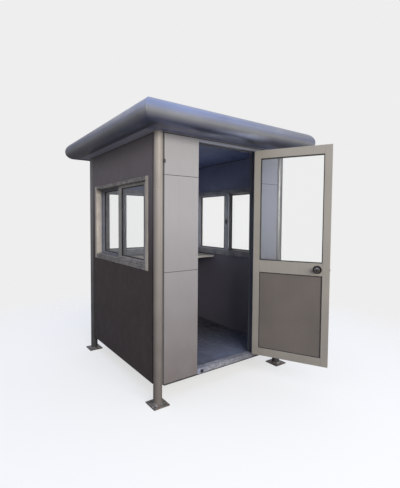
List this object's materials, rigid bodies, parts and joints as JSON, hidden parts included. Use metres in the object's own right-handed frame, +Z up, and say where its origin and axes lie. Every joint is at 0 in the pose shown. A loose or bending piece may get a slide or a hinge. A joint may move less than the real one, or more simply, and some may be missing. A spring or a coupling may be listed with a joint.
{
  "type": "security guard booth",
  "caption": "Square one-person guard cabin on four round posts, with a flat rounded-edge roof, sliding windows, an inside desk and a glazed outward-opening door.",
  "frame": {"origin": "on the ground, midway between the four posts, which is the centre of the anchor hole patterns", "axes": "+Z up, +X to the right along the front seen from outside, +Y from the door side to the back"},
  "size_m": [2.01, 2.4233, 2.462],
  "materials": {
    "post_coating": "satin light beige-grey coating on steel tube",
    "plate_coating": "grey coating with rust at the welds",
    "frame_coating": "grey primer",
    "floor_sheet": "scuffed blue-grey sheet",
    "aluminium_section": "mill-finish section, scuffed",
    "front_panel_coating": "satin metallic grey composite panel",
    "wall_coating": "satin grey composite panel",
    "seal_rubber": "matt black rubber and shadow channel",
    "window_aluminium": "silver-beige anodised section, dusty",
    "clear_glass": "clear float glass",
    "desk_laminate": "pale laminate",
    "soffit_sheet": "satin grey sheet",
    "roof_coating": "satin grey coating with a blue sky cast",
    "hinge_steel": "brushed steel",
    "door_aluminium": "silver-beige coated aluminium section",
    "door_infill": "satin warm grey composite panel",
    "lock_metal": "dark polished nickel"
  },
  "bodies": {
    "booth": {"post_front_left": "post_coating", "post_front_right": "post_coating", "post_back_left": "post_coating", "post_back_right": "post_coating", "base_plates": "plate_coating", "floor_frame": "frame_coating", "floor_panel": "floor_sheet", "threshold": "aluminium_section", "front_panel_left_low": "front_panel_coating", "front_panel_left_middle": "front_panel_coating", "front_panel_left_top": "front_panel_coating", "front_panel_right_low": "front_panel_coating", "front_panel_right_middle": "front_panel_coating", "front_panel_right_top": "front_panel_coating", "door_head": "aluminium_section", "door_stops": "seal_rubber", "left_wall": "wall_coating", "right_wall": "wall_coating", "back_wall": "wall_coating", "corner_seals": "seal_rubber", "top_channels": "seal_rubber", "left_window_frame": "window_aluminium", "left_window_sashes": "window_aluminium", "left_window_glass": "clear_glass", "right_window_frame": "window_aluminium", "right_window_sashes": "window_aluminium", "right_window_glass": "clear_glass", "back_window_frame": "window_aluminium", "back_window_sashes": "window_aluminium", "back_window_glass": "clear_glass", "desk": "desk_laminate", "soffit": "soffit_sheet", "roof_deck": "roof_coating", "roof_edge_front": "roof_coating", "roof_edge_back": "roof_coating", "roof_edge_left": "roof_coating", "roof_edge_right": "roof_coating", "hinge_fixed_leaves": "hinge_steel"},
    "door": {"door_leaf": "door_aluminium", "door_glass": "clear_glass", "door_panel": "door_infill", "door_gaskets": "seal_rubber", "door_knobs": "lock_metal", "door_latch": "hinge_steel", "hinge_door_leaves": "hinge_steel"}
  },
  "joints": [
    {"name": "door_swing", "type": "hinge", "parent": "booth", "child": "door", "pos_m": [0.3545, -0.782, 1.224], "axis": [0, 0, 1], "range_deg": [-118.5, 46.5]}
  ]
}
